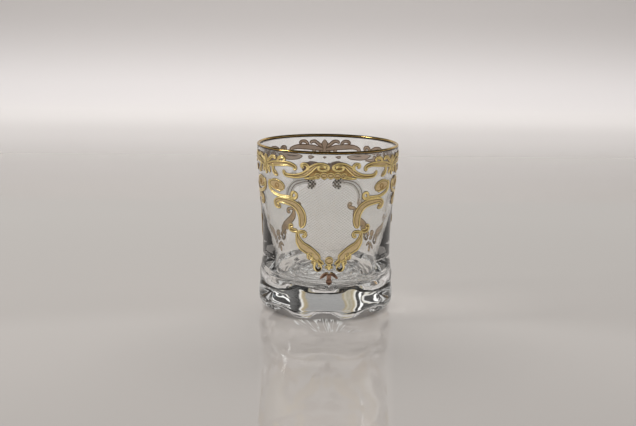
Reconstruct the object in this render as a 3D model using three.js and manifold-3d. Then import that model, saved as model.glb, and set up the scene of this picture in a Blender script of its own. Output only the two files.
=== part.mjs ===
// A whisky tumbler: one heavy pressed-glass body with a fluted foot, gilded on the lip
// and gilded with three panels of rococo scrollwork round the wall.
// Millimetres, +Z up. The origin is the middle of the plane that the feet stand on,
// and the middle of the first panel faces -Y.
import * as THREE from "three";
import { TessellateModifier } from "three/addons/modifiers/TessellateModifier.js";
import { mergeVertices } from "three/addons/utils/BufferGeometryUtils.js";
import Module from "manifold-3d";

const wasm = await Module();
wasm.setup();

// Outer wall of the glass
const HEIGHT = 100;
const RIM_RADIUS = 42;
const WAIST_RADIUS = 38.4;
const WAIST_TOP = 42;
const WAIST_BOTTOM = 34;
const BULGE_RADIUS = 41.8;
const BULGE_HEIGHT = 10;

// Foot: a flat underside inside a ring of pads, with arches between the pads and flutes over them
const FOOT_RADIUS = 30.5;
const PAD_WIDTH = 1.2;
const PAD_SHARE = 0.04;
const KICK_RADIUS = 23;
const ARCH_HEIGHT = 5;
const ARCH_TOP = 7;
const ARCH_SPREAD = 0.6;
const FLUTE_COUNT = 8;
const FLUTE_TURN = THREE.MathUtils.degToRad(-3.4);
const FLUTE_DEPTH = 1.8;
const FLUTE_FADE = 18;
const FLUTE_TOP = 21.5;

// Cavity: a thin wall that thickens downwards into a round heel over a thick base
const BASE_THICKNESS = 17.5;
const LIP_WALL = 1.8;
const THICKENING_DEPTH = 45;
const HEEL_RISE = 6;
const HEEL_WALL = 7.5;
const FLOOR_DISH = 0.4;

// Gilding: raised gold, a fired film drawn thicker than it is
const GILT_GAP = 0.3;
const GILT_THICKNESS = 0.4;
const RIM_GAP = 0.1;
const RIM_GILT = 0.3;
const RIM_BAND_HEIGHT = 1.1;
const PANELS = 3;
// The scrolls are drawn on a sheet that reaches from the rim to the top of the flutes. Across,
// its steps are hundredths of half a panel; downwards it is a number of steps deep.
const SHEET_STEP = 0.42;
const SHEET_DEPTH = 78.5;
const DOWN_STEP = (HEIGHT - FLUTE_TOP) / SHEET_DEPTH;
// The gold runs a little as it is laid, so that each stroke comes out this much wider
const SPREAD = 0.4;

// Fineness of the facets
const STEPS_PER_FLUTE = 9;
const UNDER_STEPS = 3;
const FADE_STEPS = 2;
const WALL_STEPS = 8;
const CAVITY_STEPS = 6;
const ROUND_STEPS = 5;
const STROKE_STEPS = 2;
const LONGEST_EDGE = 7;
const SHORTEST_EDGE = 0.02;

const glassFinish = new THREE.MeshStandardMaterial({
  color: 0xdfe3e2,
  roughness: 0.03,
  metalness: 0,
  transparent: true,
  opacity: 0.35,
});
const giltFinish = new THREE.MeshStandardMaterial({
  color: 0xc9a45c,
  roughness: 0.35,
  metalness: 1,
});

const { lerp, clamp, smoothstep } = THREE.MathUtils;
const even = (count) => Array.from({ length: count + 1 }, (_, i) => i / count);

// Radius of the outer wall at height z, before the flutes are pressed into it
function wallRadius(z) {
  if (z >= WAIST_TOP) return lerp(WAIST_RADIUS, RIM_RADIUS, smoothstep(z, WAIST_TOP, HEIGHT));
  if (z >= BULGE_HEIGHT) {
    return lerp(BULGE_RADIUS, WAIST_RADIUS, smoothstep(z, BULGE_HEIGHT, WAIST_BOTTOM));
  }
  const footEdge = FOOT_RADIUS + PAD_WIDTH / 2;
  const fall = 1 - clamp(z / BULGE_HEIGHT, 0, 1);
  return lerp(footEdge, BULGE_RADIUS, Math.sqrt(1 - fall * fall));
}

// Radius of the cavity at height z, above the heel
function cavityRadius(z) {
  const heel = BASE_THICKNESS + HEEL_RISE;
  const share = clamp(1 - (z - heel) / THICKENING_DEPTH, 0, 1);
  return wallRadius(z) - lerp(LIP_WALL, HEEL_WALL, share * share);
}

// GLASS BODY
// One closed outline from the middle of the underside, round the foot, up the wall,
// over the lip and down the cavity to the middle of its floor.
function glassProfile() {
  const padInner = FOOT_RADIUS - PAD_WIDTH / 2;
  const underside = even(UNDER_STEPS).map((t) => [
    lerp(KICK_RADIUS, padInner, t),
    ARCH_HEIGHT * (1 - smoothstep(t, 0, 1)),
  ]);
  const foot = even(ROUND_STEPS).map((t) => {
    const z = BULGE_HEIGHT * (1 - Math.cos((t * Math.PI) / 2));
    return [wallRadius(z), z];
  });
  const lipMiddle = HEIGHT - LIP_WALL / 2;
  const flute = even(FADE_STEPS).map((t) => lerp(FLUTE_FADE, FLUTE_TOP, t));
  const above = even(WALL_STEPS).slice(1).map((t) => lerp(FLUTE_TOP, lipMiddle, t));
  const wall = [...flute, ...above].map((z) => [wallRadius(z), z]);
  const lip = even(4).slice(1, -1).map((t) => [
    wallRadius(lipMiddle) - (LIP_WALL / 2) * (1 - Math.cos(t * Math.PI)),
    lipMiddle + (LIP_WALL / 2) * Math.sin(t * Math.PI),
  ]);
  const heelTop = BASE_THICKNESS + HEEL_RISE;
  const cavity = even(CAVITY_STEPS).map((t) => {
    const z = lerp(lipMiddle, heelTop, t);
    return [cavityRadius(z), z];
  });
  const heelRadius = cavityRadius(heelTop);
  const heel = new THREE.CubicBezierCurve(
    new THREE.Vector2(heelRadius, heelTop),
    new THREE.Vector2(heelRadius - 0.2 * HEEL_RISE, heelTop - 0.5 * HEEL_RISE),
    new THREE.Vector2(heelRadius - 0.5 * HEEL_RISE, BASE_THICKNESS + FLOOR_DISH),
    new THREE.Vector2(heelRadius - 1.3 * HEEL_RISE, BASE_THICKNESS + FLOOR_DISH),
  )
    .getPoints(ROUND_STEPS)
    .slice(1)
    .map((p) => [p.x, p.y]);
  const floor = [[0, BASE_THICKNESS]];
  return [[0, ARCH_HEIGHT], ...underside, ...foot, ...wall, ...lip, ...cavity, ...heel, ...floor];
}

// Presses the flutes and arches into the outside of a revolved body, in place
function pressFlutes(position) {
  const point = new THREE.Vector3();
  const padInner = FOOT_RADIUS - PAD_WIDTH / 2;
  for (let i = 0; i < position.count; i++) {
    point.fromBufferAttribute(position, i);
    const radius = Math.hypot(point.x, point.y);
    if (radius === 0 || radius < cavityRadius(point.z) + 0.1 && point.z > BASE_THICKNESS - 0.1) continue;
    const turn = Math.atan2(point.x, -point.y) - FLUTE_TURN;
    const wave = (1 + Math.cos(FLUTE_COUNT * turn)) / 2;
    const arch = smoothstep(wave, PAD_SHARE, 1);
    const reach = smoothstep(radius, 0.8 * padInner, padInner);
    const low = clamp(1 - point.z / ARCH_TOP, 0, 1);
    const under = radius < padInner - 0.01;
    const lift = under ? Math.max(ARCH_HEIGHT - point.z, 0) : ARCH_HEIGHT * low;
    const spread = ARCH_SPREAD * (BULGE_RADIUS - radius) * arch * reach * low;
    const press = FLUTE_DEPTH * wave * reach * (1 - smoothstep(point.z, FLUTE_FADE, FLUTE_TOP));
    const scale = (radius + spread - press) / radius;
    position.setXYZ(i, point.x * scale, point.y * scale, point.z + lift * arch);
  }
}

// Triangles whose three corners differ, once vertices at one place are merged
function closedBody(geometry) {
  const bare = new THREE.BufferGeometry();
  bare.setAttribute("position", geometry.getAttribute("position"));
  if (geometry.index) bare.setIndex(geometry.index);
  const merged = mergeVertices(bare, 1e-3);
  const kept = [];
  for (let i = 0; i < merged.index.count; i += 3) {
    const [a, b, c] = [0, 1, 2].map((k) => merged.index.getX(i + k));
    if (a !== b && b !== c && c !== a) kept.push(a, b, c);
  }
  merged.setIndex(kept);
  return merged;
}

function glassBody() {
  const outline = glassProfile().map(([r, z]) => new THREE.Vector2(r, z));
  const turned = new THREE.LatheGeometry(outline, FLUTE_COUNT * STEPS_PER_FLUTE, FLUTE_TURN);
  turned.rotateX(Math.PI / 2);
  const body = closedBody(turned);
  pressFlutes(body.getAttribute("position"));
  body.computeVertexNormals();
  return body;
}

// GILT LIP
// A thin cap over the lip that comes a little way down the outside
function rimBand() {
  const middle = new THREE.Vector2(RIM_RADIUS - LIP_WALL / 2, HEIGHT - LIP_WALL / 2);
  const inner = LIP_WALL / 2 + RIM_GAP;
  const outer = inner + RIM_GILT;
  const hem = HEIGHT - RIM_BAND_HEIGHT;
  const over = (radius, from, to) =>
    even(3).map((t) => {
      const angle = lerp(from, to, t) * Math.PI;
      return new THREE.Vector2(
        middle.x + radius * Math.cos(angle),
        middle.y + radius * Math.sin(angle),
      );
    });
  const outline = [
    new THREE.Vector2(wallRadius(hem) + RIM_GAP + RIM_GILT, hem),
    ...over(outer, 0, 0.8),
    ...over(inner, 0.8, 0),
    new THREE.Vector2(wallRadius(hem) + RIM_GAP, hem),
  ];
  outline.push(outline[0].clone());
  const turned = new THREE.LatheGeometry(outline, FLUTE_COUNT * STEPS_PER_FLUTE, FLUTE_TURN);
  turned.rotateX(Math.PI / 2);
  const band = closedBody(turned);
  band.computeVertexNormals();
  return band;
}

// GILT SCROLLS
// Each scroll is drawn flat. Across is steps from the panel's middle, and down is steps below
// the rim; the width of a stroke is in down steps too.
const onSheet = ([across, down]) => new THREE.Vector2(across * SHEET_STEP, -down * DOWN_STEP);

// Points of a curl that winds round a middle from one angle to another, in turns
function curl([across, down], radius, from, to, shrink = 0.4, flatten = 1) {
  const count = Math.ceil(Math.abs(to - from) * 8);
  return even(count).map((t) => {
    const angle = lerp(from, to, t) * 2 * Math.PI;
    const reach = radius * lerp(1, shrink, t);
    return [
      across + (reach * Math.cos(angle) * DOWN_STEP) / SHEET_STEP,
      down - reach * flatten * Math.sin(angle),
    ];
  });
}

// The points on the outside of a few points, in order
function outermost(points) {
  const chain = (list) => {
    const kept = [];
    for (const point of list) {
      const turnsIn = ([a, b]) => b.clone().sub(a).cross(point.clone().sub(b)) <= 0;
      while (kept.length > 1 && turnsIn(kept.slice(-2))) kept.pop();
      kept.push(point);
    }
    return kept.slice(0, -1);
  };
  const sorted = points.toSorted((a, b) => a.x - b.x || a.y - b.y);
  return [...chain(sorted), ...chain(sorted.toReversed())];
}

// A painted stroke with round ends, through points that each have a width; the last one is kept
function stroke(points, widths) {
  const spine = new THREE.SplineCurve(points.map(onSheet));
  const length = spine.getLength();
  const widthAt = (t) => {
    const place = t * (points.length - 1);
    const low = Math.min(Math.floor(place), points.length - 2);
    const [from, to] = [low, low + 1].map((k) => widths[Math.min(k, widths.length - 1)]);
    return lerp(from, to, place - low) * DOWN_STEP + SPREAD;
  };
  const start = spine.getUtoTmapping(Math.min(widthAt(0) / length, 0.9) / 2);
  const stop = spine.getUtoTmapping(1 - Math.min(widthAt(1) / length, 0.9) / 2);
  const steps = (points.length - 1) * STROKE_STEPS;
  const stations = even(steps).map((share) => {
    const t = lerp(start, stop, share);
    const middle = spine.getPoint(t);
    const along = spine.getTangent(t);
    const across = new THREE.Vector2(-along.y, along.x).multiplyScalar(widthAt(t) / 2);
    return [middle.clone().sub(across), middle.clone().add(across)];
  });
  const roundEnd = (t, sign) => {
    const middle = spine.getPoint(t);
    const along = spine.getTangent(t).multiplyScalar((sign * widthAt(t)) / 2);
    const across = new THREE.Vector2(along.y, -along.x);
    const edge = [1 / 3, 2 / 3].map((s) =>
      middle
        .clone()
        .addScaledVector(across, Math.cos(s * Math.PI))
        .addScaledVector(along, Math.sin(s * Math.PI)),
    );
    const [right, left] = sign > 0 ? stations.at(-1) : stations[0].toReversed();
    return new THREE.Shape([right, ...edge, left]);
  };
  // Short lengths that meet end to end, so that a stroke may wind back over itself
  const lengths = stations.slice(1).map((ends, i) => new THREE.Shape(outermost([...stations[i], ...ends])));
  return [roundEnd(start, -1), ...lengths, roundEnd(stop, 1)];
}

// A painted dot
function bead([across, down], width) {
  const middle = onSheet([across, down]);
  return new THREE.Shape().absarc(middle.x, middle.y, (width * DOWN_STEP + SPREAD) / 2, 0, 2 * Math.PI);
}

const flip = (points) => points.map(([across, down]) => [-across, down]);

// Radius of the wall's facets at height z, from one row of the profile to the next
function facetRadius(z) {
  const lipMiddle = HEIGHT - LIP_WALL / 2;
  const place = WALL_STEPS * clamp((z - FLUTE_TOP) / (lipMiddle - FLUTE_TOP), 0, 1);
  const row = Math.min(Math.floor(place), WALL_STEPS - 1);
  const rowRadius = (k) => wallRadius(lerp(FLUTE_TOP, lipMiddle, k / WALL_STEPS));
  return lerp(rowRadius(row), rowRadius(row + 1), place - row);
}

// Shapes of one motif joined into one flat solid and laid on the wall
function gilding(shapes) {
  const solids = shapes.flat().map((shape) => {
    const slab = closedBody(
      new THREE.ExtrudeGeometry(shape, { depth: GILT_THICKNESS, bevelEnabled: false, curveSegments: 5 }),
    );
    const vertProperties = slab.getAttribute("position").array;
    const triVerts = new Uint32Array(slab.index.array);
    return new wasm.Manifold(new wasm.Mesh({ numProp: 3, vertProperties, triVerts }));
  });
  // The join can leave slivers of no thickness beside the motif, and only the motif is kept
  const bodies = solids.reduce((sum, solid) => sum.add(solid)).decompose();
  const joined = bodies
    .reduce((most, body) => (body.volume() > most.volume() ? body : most))
    .simplify(SHORTEST_EDGE)
    .getMesh();
  const flat = new THREE.BufferGeometry();
  flat.setAttribute("position", new THREE.BufferAttribute(joined.vertProperties, 3));
  flat.setIndex(new THREE.BufferAttribute(joined.triVerts, 1));
  const fine = new TessellateModifier(LONGEST_EDGE, 6).modify(flat);
  const position = fine.getAttribute("position");
  for (let i = 0; i < position.count; i++) {
    const turn = (position.getX(i) / SHEET_STEP / 100) * (Math.PI / PANELS);
    const z = HEIGHT + position.getY(i);
    const radius = facetRadius(z) + GILT_GAP + position.getZ(i);
    position.setXYZ(i, radius * Math.sin(turn), -radius * Math.cos(turn), z);
  }
  const laid = closedBody(fine);
  laid.computeVertexNormals();
  return laid;
}

// Crest over the panel: two facing volutes that run out into long arms, on a leaf garland
function crest() {
  const side = (turned) => [
    stroke(
      turned([[64, 11.4], [64.6, 12.9], [60.5, 14.3], [50, 14.5], [41, 14], [32.6, 12.6], [26, 10.2],
        [20, 8.1], ...curl([10.7, 9.1], 3.9, 0.17, 1.6, 0.3, 0.56)]),
      [1.9, 2, 2.2, 2.4, 2.8, 3.4, 3.6, 2.8, 2.1, 1.8, 1.6, 1.5, 1.4],
    ),
    stroke(
      turned([[30.4, 11], [29.6, 8.7], [32.6, 7.3], [37.2, 7.6], [37.4, 8.8], [34.6, 9.2]]),
      [1.8, 1.8, 1.9, 1.8, 1.7, 1.5],
    ),
    stroke(turned([[4, 9.2], [16, 9]]), [4.4, 4.4]),
    bead(turned([[8.7, 13.5]])[0], 4.1),
    bead(turned([[17, 13.6]])[0], 3.7),
    stroke(turned([[17, 14.3], [26, 15], [35, 15.4]]), [2.4, 1.6, 0.5]),
  ];
  const ground = stroke([[-30, 12.6], [0, 12.2], [30, 12.6]], [3, 5, 3]);
  return [ground, bead([0, 13.4], 4), ...side((points) => points), ...side(flip)];
}

// Palmette between two panels: a bud with hooked arms, and with leaves and curls about it
function palmette() {
  const middle = 100;
  const side = (turned) => {
    const from = (points) => turned(points).map(([across, down]) => [middle + across, down]);
    return [
      stroke(
        from([[1, 10], [9, 9.4], [17.4, 8.6], [31, 8], [42, 7.8], [50.5, 8.6], [53, 10], [49.8, 10.9]]),
        [1.6, 2.6, 3.2, 3.2, 2.7, 2.2, 2, 1.9],
      ),
      stroke(from([[3, 8.2], [9, 6.4], [14, 4.8], [19.5, 4.9], [20, 6.4]]), [1.6, 2, 2, 1.8]),
      stroke(from([[2, 10.4], [6.4, 12.2], [8.6, 14.6]]), [1.6, 2.4, 0.9]),
      stroke(
        from([[16.4, 8.5], [15.6, 11.2], [17.5, 13.4], [22, 14.4], [24.5, 13.9]]),
        [1.6, 2, 2.6, 3, 2.2],
      ),
    ];
  };
  const bud = [[middle, 15.8], [middle, 12.6], [middle, 9], [middle, 6.2], [middle, 3.6]];
  return [stroke(bud, [0.8, 3.2, 2.2, 4, 0.8]), ...side((points) => points), ...side(flip)];
}

// Upper side of the frame: a shoulder leaf, the line that holds it and the great C-scroll
function upperScroll(turned) {
  return [
    stroke(turned([[93.4, 20.6], [80, 20.8], [70, 21.9], [65.8, 23.2]]), [4.4, 7, 6.4, 3.8]),
    stroke(
      turned([[92, 18.4], [95, 20.5], [94, 23.2], [89.5, 25], [83, 26.2], [75, 27], [66, 27.1], [57, 27],
        ...curl([50.5, 25.5], 2.1, -0.2, -1.15, 0.6)]),
      [1.2, 1.9, 2, 2, 1.9, 1.8, 1.8, 1.8, 1.7, 1.7, 1.6, 1.5],
    ),
    stroke(
      turned([[73.4, 32.4], [76.8, 33.2], [81.4, 32.9], [82.8, 31.2], [78, 29.9], [71, 29.6], [63, 29.7],
        [53.5, 30.4], [47, 31.8], [42.3, 34], [39.2, 36.9], [38.5, 40.3], [39.6, 42.7], [41.4, 44.6]]),
      [2.6, 3, 3.2, 3.3, 3.4, 3.6, 3.9, 4.2, 4.5, 4.8, 4.9, 4.7, 4, 2.4],
    ),
  ];
}

// Lower side of the frame: two neck curls, the broad S-scroll, its leaves and a round volute
function lowerScroll(turned) {
  return [
    stroke(turned([[46, 46.2], [53, 46.4], [58, 45.4], [58.4, 44.4]]), [2, 2.6, 2.8, 2.6]),
    stroke(turned([[58.6, 45.6], [57.5, 43.9], [52.6, 43.9]]), [2.4, 2.6, 2.4]),
    stroke(
      turned([[46.5, 47.2], [40.5, 46.7], [35.6, 47], [34.3, 48.3], [36, 49.3], [40, 49.2]]),
      [1.6, 2, 2, 2, 1.9, 1.6],
    ),
    stroke(
      turned([[47, 46.8], [46.4, 49.4], [44.4, 52.4], [39.5, 55], [33.5, 56.4], [26.5, 58.1], [20, 60.4],
        [13.6, 63]]),
      [1.8, 2.4, 4.4, 5.4, 5.5, 5.3, 5.2, 4.6],
    ),
    stroke(turned([[26.2, 58.4], [27.4, 63]]), [4]),
    bead(turned([[21.4, 64]])[0], 3.6),
    stroke(turned([[21, 63.4], ...curl([15.7, 66.8], 2.4, 0.12, -0.78, 0.72)]), [1.8, 1.4, 1.2, 1.1, 1]),
    bead(turned([[14.6, 66.3]])[0], 1.3),
  ];
}

// Boss at the foot of the frame, with a short stem and two small knobs
function finial() {
  return [
    bead([0, 63], 5),
    stroke([[0, 64.6], [0, 66.8], [0, 68.6]], [2.4, 2, 1.4]),
    bead([3.6, 66.7], 2),
    bead([-3.6, 66.7], 2),
  ];
}

// Drop that hangs under the boss: two leaves and a bead
function drop() {
  const leaf = [[1, 70], [6.5, 71.2], [12.2, 73.4]];
  return [
    stroke(leaf, [1.4, 1.8, 0.7]),
    stroke(flip(leaf), [1.4, 1.8, 0.7]),
    stroke([[0, 70.4], [0, 72.6], [0, 74.4]], [2, 2.2]),
    bead([0, 75], 3.6),
  ];
}

const tumbler = new THREE.Group();

function addPiece(parent, name, geometry, finish) {
  const piece = new THREE.Mesh(geometry, finish);
  piece.name = name;
  parent.add(piece);
}

addPiece(tumbler, "glass_body", glassBody(), glassFinish);
addPiece(tumbler, "rim_band", rimBand(), giltFinish);

const motifs = {
  crest: gilding(crest()),
  palmette: gilding(palmette()),
  upper_scroll_right: gilding(upperScroll((points) => points)),
  upper_scroll_left: gilding(upperScroll(flip)),
  lower_scroll_right: gilding(lowerScroll((points) => points)),
  lower_scroll_left: gilding(lowerScroll(flip)),
  finial: gilding(finial()),
  drop: gilding(drop()),
};
for (let panel = 0; panel < PANELS; panel++) {
  const place = new THREE.Group();
  place.rotation.z = (panel * 2 * Math.PI) / PANELS;
  tumbler.add(place);
  for (const [name, geometry] of Object.entries(motifs)) {
    addPiece(place, `${name}_${panel + 1}`, geometry, giltFinish);
  }
}

export default tumbler;
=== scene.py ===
import math

import bpy
from mathutils import Matrix, Vector


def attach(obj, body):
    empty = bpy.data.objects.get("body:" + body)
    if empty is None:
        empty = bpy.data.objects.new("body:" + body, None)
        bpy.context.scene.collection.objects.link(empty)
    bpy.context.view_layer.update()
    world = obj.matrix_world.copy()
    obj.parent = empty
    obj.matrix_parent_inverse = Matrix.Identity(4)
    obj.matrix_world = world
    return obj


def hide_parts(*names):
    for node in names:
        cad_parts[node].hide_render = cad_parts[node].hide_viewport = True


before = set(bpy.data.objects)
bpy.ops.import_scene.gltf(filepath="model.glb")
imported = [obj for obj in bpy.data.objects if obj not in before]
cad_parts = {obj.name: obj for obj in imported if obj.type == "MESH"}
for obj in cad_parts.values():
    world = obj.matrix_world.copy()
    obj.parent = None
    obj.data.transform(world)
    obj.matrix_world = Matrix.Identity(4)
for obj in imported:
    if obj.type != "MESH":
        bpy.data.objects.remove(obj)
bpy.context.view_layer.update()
scene = bpy.context.scene
scene.view_settings.view_transform = "Standard"

# VIEW
# The photograph looks a little down at the glass from in front. The glass is turned slightly,
# and the picture is a little out of level.
MM = 0.001
camera_place = (-5.24 * MM, -600 * MM, 178 * MM)
look_down = math.radians(11.4)
glass_turn = math.radians(2.2)
picture_roll = math.radians(0.8)
lens = bpy.data.cameras.new("photo_lens")
lens.lens = 57.43
lens.sensor_width = 36
lens.clip_start = 0.01
camera = bpy.data.objects.new("photo_camera", lens)
scene.collection.objects.link(camera)
camera.matrix_world = (
    Matrix.Rotation(-glass_turn, 4, "Z")
    @ Matrix.Translation(camera_place)
    @ Matrix.Rotation(math.radians(90) - look_down, 4, "X")
    @ Matrix.Rotation(picture_roll, 4, "Z")
)
scene.camera = camera

# TABLE AND BACKDROP
# A glossy grey table top that runs back into a paper backdrop in one smooth sweep. A lamp behind
# the table lights it, and the sweep's colour is painted in bands of light and shade on top of that,
# lightest low on the backdrop.
sweep_front = -2.2
sweep_back = 1.9
sweep_bend = 0.7
sweep_top = 0.28
sweep_half_width = 3.5
table_level = -0.05 * MM
bend_start = sweep_back - sweep_bend
bend_angle = math.acos(1 - sweep_top / sweep_bend)
bend_steps = 16
sweep_side = [(sweep_front, 0.0), (0.0, 0.0), (bend_start, 0.0)]
for step in range(1, bend_steps + 1):
    angle = step / bend_steps * bend_angle
    sweep_side.append((bend_start + sweep_bend * math.sin(angle), sweep_bend * (1 - math.cos(angle))))
sweep_mesh = bpy.data.meshes.new("table_sweep")
sweep_mesh.from_pydata(
    [(x, y, z + table_level) for y, z in sweep_side for x in (-sweep_half_width, sweep_half_width)],
    [],
    [(2 * i, 2 * i + 1, 2 * i + 3, 2 * i + 2) for i in range(len(sweep_side) - 1)],
)
sweep_mesh.shade_smooth()


def feed(tree, node, feeds):
    """Sets inputs of a node to a value or joins them to a socket."""
    for key, value in dict(feeds).items():
        if isinstance(value, bpy.types.NodeSocket):
            tree.links.new(value, node.inputs[key])
        else:
            node.inputs[key].default_value = value


def add(tree, kind, feeds=(), **settings):
    """A node with its settings and inputs."""
    made = tree.nodes.new(kind)
    for key, value in settings.items():
        setattr(made, key, value)
    feed(tree, made, feeds)
    return made


def flow(tree, kind, feeds=(), **settings):
    """The first output of a node with its settings and inputs."""
    return add(tree, kind, feeds, **settings).outputs[0]


def calc(tree, operation, *values):
    return flow(tree, "ShaderNodeMath", enumerate(values), operation=operation)


def product(tree, first, *others):
    for other in others:
        first = calc(tree, "MULTIPLY", first, other)
    return first


def span(tree, x, y):
    """How far a point with these coordinates is from nought."""
    return calc(tree, "SQRT", calc(tree, "MULTIPLY_ADD", x, x, product(tree, y, y)))


def ranged(tree, value, low, high, start=0.0, stop=1.0, between="LINEAR"):
    """A value carried over from one range to another and held at the ends."""
    feeds = {"Value": value, "From Min": low, "From Max": high, "To Min": start, "To Max": stop}
    return flow(tree, "ShaderNodeMapRange", feeds, interpolation_type=between)


def mixed(tree, share, first, second):
    """A colour that goes from the first to the second as the share grows."""
    feeds = {"Factor": share, 6: first, 7: second}
    return add(tree, "ShaderNodeMix", feeds, data_type="RGBA").outputs[2]


def noise(tree, place, scale, detail=1.0):
    return flow(tree, "ShaderNodeTexNoise", {"Vector": place, "Scale": scale, "Detail": detail})


def own_place(tree):
    """X, Y and Z of the piece's own coordinates."""
    place = add(tree, "ShaderNodeTexCoord").outputs["Object"]
    return add(tree, "ShaderNodeSeparateXYZ", {0: place}).outputs


def shades(tree, factor, stops, between="EASE"):
    """A colour ramp through the stops, each a place and a linear colour."""
    made = add(tree, "ShaderNodeValToRGB", {"Fac": factor})
    ramp = made.color_ramp
    ramp.interpolation = between
    while len(ramp.elements) < len(stops):
        ramp.elements.new(0.5)
    for element, (place, colour) in zip(ramp.elements, stops):
        element.position = place
        element.color = (*colour, 1)
    return made.outputs["Color"]


def new_finish(name):
    """A material with its tree and its Principled BSDF."""
    made = bpy.data.materials.new(name)
    made.use_nodes = True
    return made, made.node_tree, made.node_tree.nodes["Principled BSDF"]


sweep_finish, tree, surface = new_finish("grey_sweep")
shade_range = (-0.6, 3.4)
gloss_range = (0.3, 1.3)
matt_roughness = 0.8
spot = own_place(tree)
along = calc(tree, "ADD", spot["Y"], spot["Z"])
# The colour ramp is painted light and shade: bands lighter and darker along the table and up the backdrop,
# lightest low on the backdrop.
sweep_colour_and_painted_light = shades(
    tree,
    ranged(tree, along, *shade_range),
    [
        (0.0, (0.43, 0.405, 0.38)),
        (0.125, (0.59, 0.545, 0.51)),
        (0.21, (0.57, 0.53, 0.495)),
        (0.29, (0.53, 0.495, 0.47)),
        (0.36, (0.60, 0.565, 0.545)),
        (0.42, (0.655, 0.62, 0.60)),
        (0.50, (0.655, 0.62, 0.61)),
        (0.615, (0.47, 0.44, 0.425)),
        (0.8, (0.40, 0.375, 0.36)),
    ],
)

# Painted light: the table's colour is brightened in a patch in front of the foot, where the glass
# gathers light; the patch leans and widens a little with the distance. Right under the foot the
# colour is darkened as painted shade.
patch_front = 42 * MM
patch_lean = 0.044
patch_shift = -1.3 * MM
patch_widening = 0.063
patch_half_width = 37.4 * MM
patch_gain = 0.17
foot_shade = -0.7
ahead = calc(tree, "ADD", spot["Y"], patch_front)
aside = calc(tree, "SUBTRACT", spot["X"], calc(tree, "MULTIPLY_ADD", ahead, patch_lean, patch_shift))
half_patch = calc(tree, "MULTIPLY_ADD", ahead, patch_widening, patch_half_width)
in_patch = calc(tree, "SUBTRACT", half_patch, calc(tree, "ABSOLUTE", aside))
in_patch = ranged(tree, in_patch, -2 * MM, 8 * MM)
before_foot = ranged(tree, spot["Y"], -24 * MM, -50 * MM)
gain = product(tree, in_patch, before_foot, patch_gain)
under_foot = ranged(tree, span(tree, spot["X"], spot["Y"]), 39.5 * MM, 34 * MM)
gain = calc(tree, "ADD", calc(tree, "MULTIPLY_ADD", under_foot, foot_shade, gain), 1.0)
sweep_colour_and_painted_light = flow(tree, "ShaderNodeVectorMath", {0: sweep_colour_and_painted_light, "Scale": gain}, operation="SCALE")

# Painted glints: fine white lines painted into the table's colour fan out from a point in front of
# the foot and show in three oval areas, each a middle and a half width and depth in millimetres.
fan_middle = (-1, -72)
fan_lines = 11.0
fan_bends = 25.0
glint_areas = (((-2.0, -43), (13, 14)), ((-15.6, -36.5), (6, 6)), ((14, -52.5), (6, 4)))
white = (1.0, 0.99, 0.97, 1)
fan_x, fan_y = (calc(tree, "SUBTRACT", spot[axis], at * MM) for axis, at in zip("XY", fan_middle))
fan_turn = product(tree, calc(tree, "ARCTAN2", fan_x, fan_y), fan_lines)
fan_reach = product(tree, span(tree, fan_x, fan_y), fan_bends)
field = noise(tree, flow(tree, "ShaderNodeCombineXYZ", {"X": fan_turn, "Y": fan_reach}), 1.0)
off_line = calc(tree, "ABSOLUTE", calc(tree, "SUBTRACT", field, 0.5))
glints = ranged(tree, off_line, 0.045, 0.01)
lit_share = 0.0
for middle, reach in glint_areas:
    off_x, off_y = (
        calc(tree, "DIVIDE", calc(tree, "SUBTRACT", spot[axis], at * MM), half * MM)
        for axis, at, half in zip("XY", middle, reach)
    )
    apart = calc(tree, "MULTIPLY_ADD", off_x, off_x, product(tree, off_y, off_y))
    lit_share = calc(tree, "MAXIMUM", lit_share, calc(tree, "SUBTRACT", 1.0, apart))
lit_share = calc(tree, "MINIMUM", product(tree, lit_share, 2.0), 1.0)
sweep_colour_and_painted_light = mixed(tree, product(tree, glints, lit_share), sweep_colour_and_painted_light, white)
rough = ranged(tree, along, *gloss_range, 0.0, matt_roughness)
feed(tree, surface, {"Base Color": sweep_colour_and_painted_light, "Roughness": rough})

sweep_mesh.materials.append(sweep_finish)
sweep = bpy.data.objects.new("table_sweep", sweep_mesh)
scene.collection.objects.link(sweep)

# GLASS BODY
# A heavy tumbler pressed in one piece from clear glass and fire-polished. The wall is thin at the
# lip and runs down into a thick base, whose foot is pressed into smooth lobes with arches between.
height = 100
rim_radius = 42
waist_radius = 38.4
waist_top = 42
waist_bottom = 34
bulge_radius = 41.8
bulge_height = 10
foot_radius = 30.5
pad_width = 0.3
arch_height = 5
arch_top = 7
arch_spread = 0.6
kick_radius = 23
base_thickness = 17.5
lip_wall = 1.8
heel_rise = 6
heel_wall = 7.5
thickening_depth = 45
floor_dish = 0.4
flute_count = 8
steps_round = flute_count * 24
flute_turn = math.radians(-3.4)
flute_depth = 1.8
flute_fade = 18
flute_top = 21.5
pad_share = 0.04
weld = 0.001


def ease(value, low, high):
    share = min(max((value - low) / (high - low), 0), 1)
    return share * share * (3 - 2 * share)


def wall_radius(z):
    if z >= bulge_height:
        flare = (rim_radius - waist_radius) * ease(z, waist_top, height)
        belly = (bulge_radius - waist_radius) * (1 - ease(z, bulge_height, waist_bottom))
        return waist_radius + flare + belly
    fall = 1 - max(z, 0) / bulge_height
    edge = foot_radius + pad_width / 2
    return edge + (bulge_radius - edge) * math.sqrt(1 - fall * fall)


def cavity_radius(z):
    share = min(max(1 - (z - base_thickness - heel_rise) / thickening_depth, 0), 1)
    return wall_radius(z) - lip_wall - (heel_wall - lip_wall) * share * share


def even(count):
    return [i / count for i in range(count + 1)]


def bezier(a, b, c, d, t):
    return a * (1 - t) ** 3 + 3 * b * t * (1 - t) ** 2 + 3 * c * t * t * (1 - t) + d * t ** 3


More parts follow.
